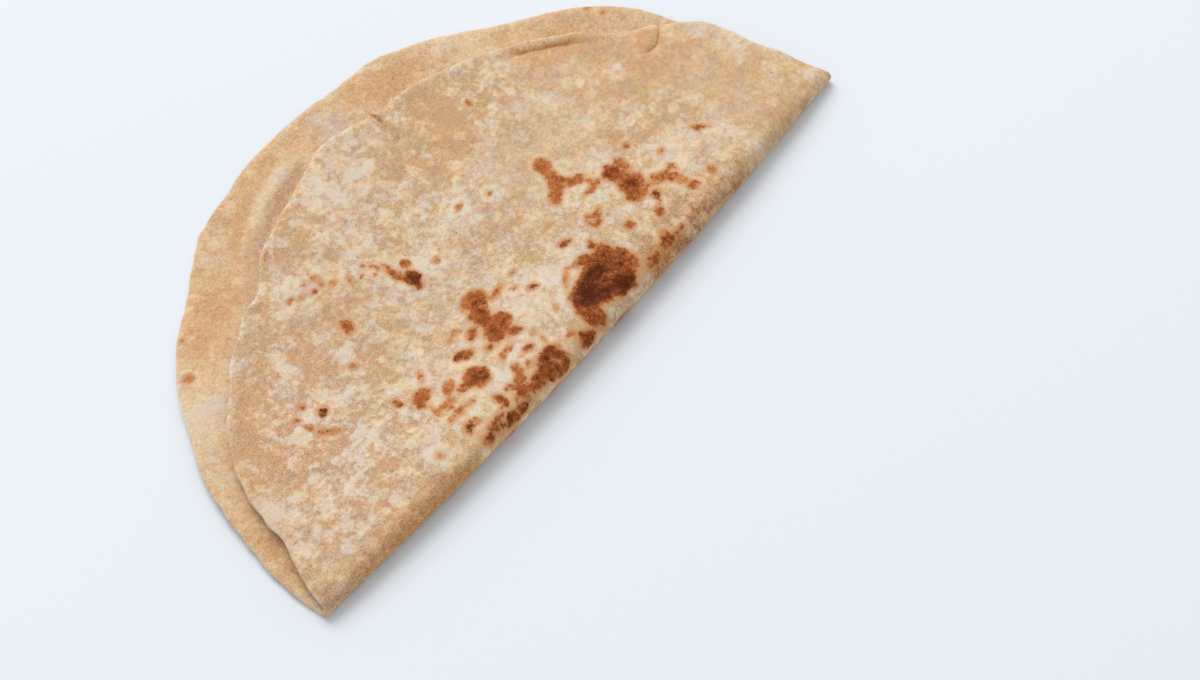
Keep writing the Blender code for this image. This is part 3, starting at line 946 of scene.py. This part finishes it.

# %% [markdown]
# ## Blisters, and shade in the creases
#
# Small round blisters never touched the iron and kept all their flour. Like the marks they are cut
# out by a depth in millimetres, so that their edges can be crisp. The pleat, the tuck and the torn
# flake get fine dark lines, made the same way from their lines: painted shade in each crease and
# under the torn edge. A blister is its middle and two radii.

# %% Blisters and crease shade
FLOURY_SPOTS = (
    (-73, 18, 2.7, 2.8), (-82, 17.4, 2.2, 1.7), (-54.9, 7.4, 4.3, 4.1), (-45.4, 43.2, 3.2, 3.2),
    (-60.5, 39.5, 3, 3), (-65.8, 39.4, 2.8, 3.6), (-84, 27.4, 1.6, 1.2), (-85.4, 7.6, 2.4, 2.5),
    (-69, 7.6, 2.4, 2.2), (-74, 7.4, 1.5, 1.3), (-76, 4, 1.6, 1.2), (-64, 20.6, 7, 2.2),
    (-57, 18, 4, 1.8), (-61, 26, 5, 2.6), (-67, 28, 2.6, 1.8), (-80, 20.6, 2.8, 1.8),
    (-56, 59, 4, 2.4), (-57, 52.6, 2, 3.8), (-88, 22.4, 2.8, 2.2), (-92, 14.6, 2.6, 2.8),
    (-46, 30.6, 4, 2.2), (-44, 47.4, 4.2, 1.5), (-54, 38.6, 4, 2.3), (-46, 19.4, 3.8, 2.6),
    (-61, 11.6, 1.8, 2.6), (-79, 13.4, 1.6, 1.2), (-81, 8.4, 1.8, 1.4), (-38, 72.6, 3, 1.6),
    (-51, 61.4, 3, 1.2), (-33, 67, 1.3, 1.1), (-24, 62.4, 1.5, 1.2), (-6, 66.6, 3, 2.1),
    (-22, 75.6, 2.8, 1.5), (-28, 82, 1.8, 1.4), (-34, 44, 1.8, 1.4), (-33, 33.4, 1.8, 1.1),
    (-12, 50, 1.8, 3.8), (2, 82.5, 5, 2.4), (-8, 80.6, 2.6, 1.8), (-10, 86.6, 3.8, 1.8),
    (22, 84, 1.2, 2), (27.6, 83, 1.8, 1.4), (24.4, 79.4, 1.3, 1.8), (36, 74.6, 3.2, 3.2),
    (37, 67.6, 2.9, 1.8), (31, 66.6, 1.9, 1.8), (33, 69.6, 1.5, 1.4), (43.4, 74, 1.8, 1.5),
    (46, 66.4, 1.4, 1.9), (42, 59.6, 2.8, 1.5), (35, 63.4, 2, 1.2), (26.3, 63.2, 1.3, 1.1),
    (50, 73.4, 2.6, 2.1), (50.4, 58, 1.9, 1.2), (18, 64, 1.5, 1.5), (14.4, 60.5, 1.3, 1.4),
    (8, 54.5, 4, 2.9), (16.5, 50.4, 3.1, 3.2), (64, 53.4, 1.7, 1.4), (58.5, 53.4, 1.3, 1.2),
    (60.5, 40, 1.5, 1.2), (69, 48.4, 1.4, 1.2), (57, 35.4, 3.8, 1.5), (67, 34, 3.8, 1.7),
    (71, 28.4, 2, 1.5), (92, 36.4, 2, 1.1), (95, 26.4, 1.4, 2.8), (92, 22.4, 1.9, 1.8),
    (69, 9.5, 2.2, 2.8), (83, 7.4, 1.9, 1.6), (62, 7.4, 1.9, 1.4), (92, 9.4, 1.2, 1.1),
    (3, 21, 3.8, 3), (-27, 11, 2.6, 1.9), (-22, 12.6, 1.9, 1.5), (-40, 9, 2.4, 1.5),
)
BLISTER_BEND = 0.5
CREASE_LINES = (PLEAT, RIM_TUCK[:2], TORN_FLAKE)
CREASE_LINE_HALF_WIDTH = 0.45
FAR_OUTSIDE = -3.0
EDGE_BAND = 3.0                  # millimetres from the rim over which the edge is told apart


def depth_of_spots(spots, chosen):
    """Millimetres inside the nearest of some round spots, below 0 outside them."""
    a = u[chosen] + BLISTER_BEND * cloud(u[chosen], v[chosen], 2.2, 31.0)
    b = v[chosen] + BLISTER_BEND * cloud(u[chosen], v[chosen], 2.2, 35.0)
    deepest = np.full(a.shape, FAR_OUTSIDE)
    for middle_u, middle_v, long_radius, short_radius in spots:
        out = np.hypot((a - middle_u) / long_radius, (b - middle_v) / short_radius)
        deepest = np.maximum(deepest, (1 - out) * min(long_radius, short_radius))
    return deepest


def depth_of_crease_lines(lines, chosen):
    """The same for the lines of painted shade in the creases, which are widest half way along."""
    deepest = np.full(int(chosen.sum()), FAR_OUTSIDE)
    for line in lines:
        distance, _, share = beside_line(u[chosen], v[chosen], line)
        width = CREASE_LINE_HALF_WIDTH * np.clip(6 * share * (1 - share), 0, 1)
        deepest = np.maximum(deepest, width - distance)
    return deepest


blister_depth = np.full(len(u), FAR_OUTSIDE)
blister_depth[~inner] = depth_of_spots(FLOURY_SPOTS, ~inner)
crack_depth = np.full(len(u), FAR_OUTSIDE)
crack_depth[~inner] = depth_of_crease_lines(CREASE_LINES, ~inner)
for name, numbers in (
    ("flour", flour), ("warmth", warmth), ("blush", blush), ("tanned", tanned),
    ("smoothness", smoothness), ("grit", grit),
    ("blister_depth", blister_depth), ("crack_depth", crack_depth),
    ("rim_near", np.clip(1 - rim_inset(u, v) / EDGE_BAND, 0, 1)),
):
    keep_numbers(bread.data, name, numbers)
print("flour runs from", round(flour.min(), 2), "to", round(flour.max(), 2))

# %% [markdown]
# ## Shader sums as Python
#
# A material's maths is a chain of Math nodes, which is hard to read as nodes. A small class
# wraps a socket and adds the nodes whenever two sockets are added, multiplied and so on, so the
# recipe below reads like arithmetic.

# %% A number in the material
class Value:
    """A number socket that can be used in sums."""

    def __init__(self, maker, socket):
        self.maker = maker
        self.socket = socket

    def math(self, operation, *others):
        inputs = {0: self, **{index + 1: other for index, other in enumerate(others)}}
        return self.maker.number("ShaderNodeMath", {"operation": operation}, inputs)

    def __add__(self, other):
        return self.math("ADD", other)

    __radd__ = __add__

    def __mul__(self, other):
        return self.math("MULTIPLY", other)

    __rmul__ = __mul__

    def __sub__(self, other):
        return self.math("SUBTRACT", other)

    def __rsub__(self, other):
        return (self * -1) + other

    def clipped(self):
        return self.math("MAXIMUM", 0).math("MINIMUM", 1)

    def step(self, start, end):
        """0 before start, 1 after end and an even rise between them."""
        settings = {"interpolation_type": "SMOOTHSTEP"}
        return self.maker.number("ShaderNodeMapRange", settings, {0: self, 1: start, 2: end})


signs = [name.strip("_") for name in vars(Value) if name.strip("_")[-3:] in ("add", "mul", "sub")]
print("signs that a Value takes, on its left and right:", signs)

# %% [markdown]
# ## Adding nodes
#
# The second helper belongs to one material. It adds a node with its settings and inputs in one
# call. An input is linked when it is a socket, and set when it is a plain number. The
# coordinates of every texture are the places on the flat sheet, so a pattern folds with the
# bread.

# %% A recipe of nodes
class Recipe:
    """Adds nodes to one material."""

    def __init__(self, material):
        material.use_nodes = True
        self.tree = material.node_tree
        self.shader = self.tree.nodes["Principled BSDF"]
        on_sheet = self.node("ShaderNodeAttribute", {"attribute_name": "on_the_sheet"})
        self.coordinates = on_sheet.outputs["Vector"]

    def node(self, kind, settings=None, inputs=None):
        made = self.tree.nodes.new(kind)
        for name, value in (settings or {}).items():
            if name == "stops":
                self.set_stops(made.color_ramp, value)
            else:
                setattr(made, name, value)
        for name, value in (inputs or {}).items():
            self.feed(made.inputs[name], value)
        return made

    def feed(self, socket, value):
        if isinstance(value, Value):
            value = value.socket
        if isinstance(value, bpy.types.NodeSocket):
            self.tree.links.new(value, socket)
        else:
            socket.default_value = value

    def set_stops(self, ramp, stops):
        while len(ramp.elements) < len(stops):
            ramp.elements.new(0.5)
        for element, (place, colour) in zip(ramp.elements, stops):
            element.position = place
            element.color = colour

    def number(self, kind, settings=None, inputs=None, output=0):
        return Value(self, self.node(kind, settings, inputs).outputs[output])

    def kept(self, name):
        """An attribute that was worked out for each point of the mesh."""
        return self.number("ShaderNodeAttribute", {"attribute_name": name}, output="Fac")

    def mix(self, share, below, above, blend="MIX"):
        """Two colours mixed: all of below at 0, all of above at 1."""
        settings = {"data_type": "RGBA", "blend_type": blend}
        inputs = {0: share, 6: below, 7: above}
        return self.node("ShaderNodeMix", settings, inputs).outputs[2]

    def ramp(self, share, stops):
        return self.node("ShaderNodeValToRGB", {"stops": stops}, {0: share}).outputs["Color"]


material = bpy.data.materials.new("griddled crust")
print("material made:", material.name)

# %% [markdown]
# ## Patterns of baked dough
#
# Four kinds of pattern are enough for the crust. Soft noise makes hills of any width. Two fine
# noises come from the colours of a single texture, which is quicker than two textures. Crooked
# coordinates push every outline about, because a round ball looks printed. Domes are balls in
# the cells of a Voronoi texture, in a share of the cells and of mixed sizes, like blisters.

# %% Patterns
class DoughRecipe(Recipe):
    """A recipe that knows the patterns of dough."""

    def noise(self, size, detail=2.0, roughness=0.5, distortion=0.0, vector=None):
        """Soft noise round 0, about -1 to 1, whose hills are size metres apart."""
        inputs = {
            "Vector": vector or self.coordinates, "Scale": 1 / size, "Detail": detail,
            "Roughness": roughness, "Distortion": distortion,
        }
        return (self.number("ShaderNodeTexNoise", inputs=inputs) - 0.5) * 4

    def two_noises(self, size):
        """Two fine noises that know nothing of each other, from the colours of one texture."""
        inputs = {"Vector": self.coordinates, "Scale": 1 / size, "Detail": 1.5, "Roughness": 0.7}
        coloured = self.node("ShaderNodeTexNoise", inputs=inputs).outputs["Color"]
        channels = self.node("ShaderNodeSeparateColor", inputs={0: coloured})
        return [(Value(self, channels.outputs[index]) - 0.5) * 4 for index in (0, 1)]

    def crooked(self, amount, size):
        """Places on the flat sheet, pushed about by noise so that nothing round stays a ball."""
        inputs = {"Vector": self.coordinates, "Scale": 1 / size, "Detail": 2, "Roughness": 0.6}
        push = self.node("ShaderNodeTexNoise", inputs=inputs).outputs["Color"]
        inputs = {0: push, 1: (amount,) * 3, 2: self.coordinates}
        return self.node("ShaderNodeVectorMath", {"operation": "MULTIPLY_ADD"}, inputs).outputs[0]

    def domes(self, size, share, vector):
        """Balls in a share of the cells, of mixed sizes: how deep inside one, in cell widths."""
        settings = {"voronoi_dimensions": "2D"}
        cell = self.node("ShaderNodeTexVoronoi", settings, {"Vector": vector, "Scale": 1 / size})
        chance = self.number("ShaderNodeSeparateColor", inputs={0: cell.outputs["Color"]})
        return (chance - (1 - share)) * 1.05 - Value(self, cell.outputs["Distance"])


make = DoughRecipe(material)
MILLIMETRE = 0.001
crooked = make.crooked(1.8 * MILLIMETRE, 3.0 * MILLIMETRE)
clouds = make.noise(8.5 * MILLIMETRE, detail=3, roughness=0.55, distortion=0.6)
bubbles = make.noise(3.4 * MILLIMETRE, detail=3, roughness=0.6, distortion=0.3)
mottling = make.noise(1.4 * MILLIMETRE, detail=2, roughness=0.6, distortion=0.4)
grain, tinge = make.two_noises(0.42 * MILLIMETRE)
wide_tinge = make.noise(5.0 * MILLIMETRE, detail=2, roughness=0.6, distortion=0.5)
rosy = make.noise(3.9 * MILLIMETRE, detail=3, roughness=0.6, distortion=0.6, vector=crooked)
flakes = make.domes(6.2 * MILLIMETRE, 0.50, crooked).step(-0.03, 0.15)
domes = make.domes(3.4 * MILLIMETRE, 0.60, crooked).step(-0.02, 0.20)
dusting = make.domes(1.5 * MILLIMETRE, 0.70, crooked).step(0.0, 0.28)
pools = make.domes(7.4 * MILLIMETRE, 0.45, crooked).step(0.0, 0.25)
bran = make.domes(4.0 * MILLIMETRE, 0.11, make.coordinates).step(0.0, 0.05)
print("nodes in the patterns:", len(make.tree.nodes))

# %% [markdown]
# ## How pale the dough is
#
# The colour is built in the order in which the bread got it, beginning with one number for how pale
# the crust is. Flour cover comes first: the patches kept on the mesh, with the painted shade of the
# bands, and where the crust is lively the patterns on top of them. Flakes, domes and dusting carry
# flour, and pools are bare. Then mottling and grain break it up. Painted shade in the creases and
# along the fold, and flecks of bran, take away from it, and a painted highlight along the rim adds to
# it.

# %% The dough
lively = 1 - make.kept("smoothness")
dusted = clouds * 0.7 + bubbles * 0.8 + mottling * 0.45
dusted += flakes * 0.6 + domes * 0.65 + dusting * 0.45 - pools * 0.8 - 0.2
blister = (make.kept("blister_depth") + bubbles * 0.5 + mottling * 0.5).step(-0.5, 0.5)
cover = (make.kept("flour") * 0.85 + lively * dusted + blister * 0.45).step(-1.15, 1.25)
dough = 0.315 + cover * 0.405 + blister * 0.05
gritty = 1 + make.kept("grit")
dough += mottling * 0.07 + gritty * grain * 0.22
# Painted shade: fine dark lines in the creases, and the shade painted along the front of the fold and
# in the slit.
crease_shade = (make.kept("crack_depth") + mottling * 0.1).step(-0.15, 0.30)
painted_shade_here = make.kept("tanned")
# Painted highlight: a pale line along the rim, where its rounded edge catches the light.
edge = make.kept("rim_near").step(0.72, 1.0)
dough -= crease_shade * 0.30 + painted_shade_here + bran * 0.22
dough += edge * 0.12
print("nodes with the dough:", len(make.tree.nodes))

# %% [markdown]
# ## The outline of a mark
#
# Dough is grainy, so a blister browns with a broken edge. The depth inside a mark came with the
# mesh as a smooth distance. Noise of three sizes makes it ragged, and a step near 0 cuts the
# outline out of it. A little way outside runs a ring that stayed paler than the rest, where the
# blister held the dough clear of the iron. That is the last thing that changes how pale the
# dough is, so a ramp can now give it its colour, from deep tan to white flour.

# %% Outlines and the colour of dough
def tone(red, green, blue):
    """A colour given from 0 to 255, in the linear numbers that nodes use."""
    shares = (c / 255 for c in (red, green, blue))
    linear = [c / 12.92 if c <= 0.04045 else ((c + 0.055) / 1.055) ** 2.4 for c in shares]
    return (*linear, 1.0)


DOUGH_TONES = (
    (0.00, tone(158, 104, 62)),
    (0.20, tone(188, 149, 110)),
    (0.36, tone(203, 167, 130)),
    (0.50, tone(213, 183, 150)),
    (0.64, tone(220, 197, 169)),
    (0.80, tone(226, 209, 187)),
    (1.00, tone(233, 222, 205)),
)
ragged = make.kept("scorch_depth") + bubbles * 0.35 + mottling * 0.50 + grain * 0.30
inside = ragged.step(-0.33, 0.46)
pale_ring = ragged.step(-2.4, -1.2) * (1 - ragged.step(-1.1, -0.4))
dough += pale_ring * 0.06
crust = make.ramp(dough.clipped(), DOUGH_TONES)
print("floury dough in linear numbers:", [round(c, 2) for c in DOUGH_TONES[-1][1]])

# %% [markdown]
# ## Orange, olive, pink and green
#
# The ramp gives one hue for each lightness, but real dough drifts: its grains are browner or
# greyer one by one, and whole patches lean to one side. Two pairs of tints are multiplied in. A
# tint is close to white, so it shifts the hue and hardly the lightness. Each pair is mixed by a
# number from the mesh and by noises that are not those of the flour.

# %% Hue of the dough
WARM = (1.09, 1.04, 0.90, 1.0)
COOL = (0.91, 0.96, 1.10, 1.0)
PINK = (1.050, 0.953, 1.026, 1.0)
GREEN = (0.953, 1.050, 0.974, 1.0)
hue = 0.54 + make.kept("warmth") * 0.6 + wide_tinge * 0.54
hue += gritty * tinge * 0.66
# Painted shade is made more orange, and the painted highlight on the rim less so.
hue += painted_shade_here * 0.6 - edge * 0.15
crust = make.mix(1, crust, make.mix(hue.clipped(), COOL, WARM), blend="MULTIPLY")
rosiness = 0.51 + make.kept("blush") * (1.3 - cover) * 0.23
rosiness += clouds * 0.06 + rosy * 0.40 + tinge * 0.13
crust = make.mix(1, crust, make.mix(rosiness.clipped(), GREEN, PINK), blend="MULTIPLY")
print("nodes with the hue:", len(make.tree.nodes))

# %% [markdown]
# ## Stain and scorch
#
# Heat spreads from a mark into the dough round it as an orange stain. Inside the outline the
# heat picks its colour from a second ramp, from orange over rust and brown to char. Mottling
# raises the heat and grain lowers it, because a blister never browns evenly.

# %% Browning
GRIDDLE_TONES = (
    (0.00, tone(210, 158, 108)),
    (0.22, tone(200, 136, 82)),
    (0.40, tone(186, 112, 60)),
    (0.58, tone(163, 88, 41)),
    (0.76, tone(124, 60, 21)),
    (1.00, tone(80, 30, 0)),
)
STAIN = tone(208, 143, 88)
griddle_heat = make.kept("scorch_heat")
stain = (ragged + griddle_heat * 1.6).step(-0.8, 0.9) * griddle_heat.step(0.05, 0.35) * 0.62
crust = make.mix(stain, crust, STAIN)
toasted = griddle_heat + mottling * 0.22 + bubbles * 0.11 - grain * 0.23
browned = inside * griddle_heat.step(0.02, 0.22)
crust = make.mix(browned, crust, make.ramp(toasted.clipped(), GRIDDLE_TONES))
print("nodes with the browning:", len(make.tree.nodes))

# %% [markdown]
# ## The feel of the surface
#
# Bread is matt, so it is rough and hardly shines, a little less rough where it is scorched.
# Some light travels a millimetre or two under the skin, which softens every small shadow. The
# grain, the mottling, the bubbles and the domes raise the skin by less than a fifth of a
# millimetre. That is finer than the mesh, so a Bump node does it.

# %% Surface
BUMP_HEIGHT = 0.18 * MILLIMETRE
skin = grain * 0.30 + mottling * 0.5 + bubbles * 0.5 + domes * 0.35
bump = make.node("ShaderNodeBump", inputs={"Strength": 0.6, "Distance": BUMP_HEIGHT, "Height": skin})
for name, value in (
    ("Base Color", crust),
    ("Roughness", 0.82 - browned * 0.10 + grain * 0.03),
    ("Normal", bump.outputs["Normal"]),
    ("Specular IOR Level", 0.12),
    ("Subsurface Weight", 0.25),
    ("Subsurface Radius", (1.0, 0.5, 0.25)),
    ("Subsurface Scale", 1.5 * MILLIMETRE),
):
    make.feed(make.shader.inputs[name], value)
bread.data.materials.append(material)
print("nodes in the crust:", len(make.tree.nodes))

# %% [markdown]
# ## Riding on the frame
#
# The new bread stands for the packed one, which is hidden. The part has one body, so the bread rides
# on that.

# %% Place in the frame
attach(bread, "root")
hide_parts("chapati")

# %% [markdown]
# ## The cloth under the bread
#
# The bread lies on a white cloth, which a plain, faintly blue plane stands for. It is so large
# that its edge stays out of sight.

# %% Floor
bpy.ops.object.select_all(action="DESELECT")
bpy.ops.mesh.primitive_plane_add(size=8, location=(0, 0, 0))
floor = bpy.context.active_object
floor.name = "floor"
cloth = bpy.data.materials.new("pale cloth")
cloth.use_nodes = True
cloth_shader = cloth.node_tree.nodes["Principled BSDF"]
cloth_shader.inputs["Base Color"].default_value = tone(233, 238, 244)
cloth_shader.inputs["Roughness"].default_value = 0.9
cloth_shader.inputs["Specular IOR Level"].default_value = 0.1
floor.data.materials.append(cloth)
print("floor, metres across:", [round(side, 1) for side in floor.dimensions[:2]])

# %% [markdown]
# ## Window light
#
# One large round lamp from behind and to the left gives the leaves their soft edges, as a
# window would. A sun lamp would draw hard shadows, and a ring of lamps would flatten the
# relief. The world fills the shadows. The Standard view transform keeps the colours as they
# were chosen.

# %% Light
KEY_SIDE_ANGLE = 158             # from behind and to the left, as the camera sees it
KEY_HEIGHT_ANGLE = 50
KEY_DISTANCE = 2.4
bpy.ops.object.light_add(type="AREA")
key = bpy.context.active_object
key.name = "window light"
key.data.shape = "DISK"
key.data.size = 1.9
key.data.energy = 36
key.data.color = (1.0, 0.985, 0.96)
to_key = direction(KEY_SIDE_ANGLE, KEY_HEIGHT_ANGLE)
key.location = KEY_DISTANCE * to_key
key.rotation_euler = (-to_key).to_track_quat("-Z", "Y").to_euler()

world = bpy.data.worlds.new("bright room")
world.use_nodes = True
sky = world.node_tree.nodes["Background"]
sky.inputs["Color"].default_value = (0.955, 0.978, 1.0, 1.0)
sky.inputs["Strength"].default_value = 0.64
scene.world = world
scene.view_settings.view_transform = "Standard"
print("key light", key.data.energy, "W from", [round(c, 2) for c in key.location])

# %% [markdown]
# ## The end
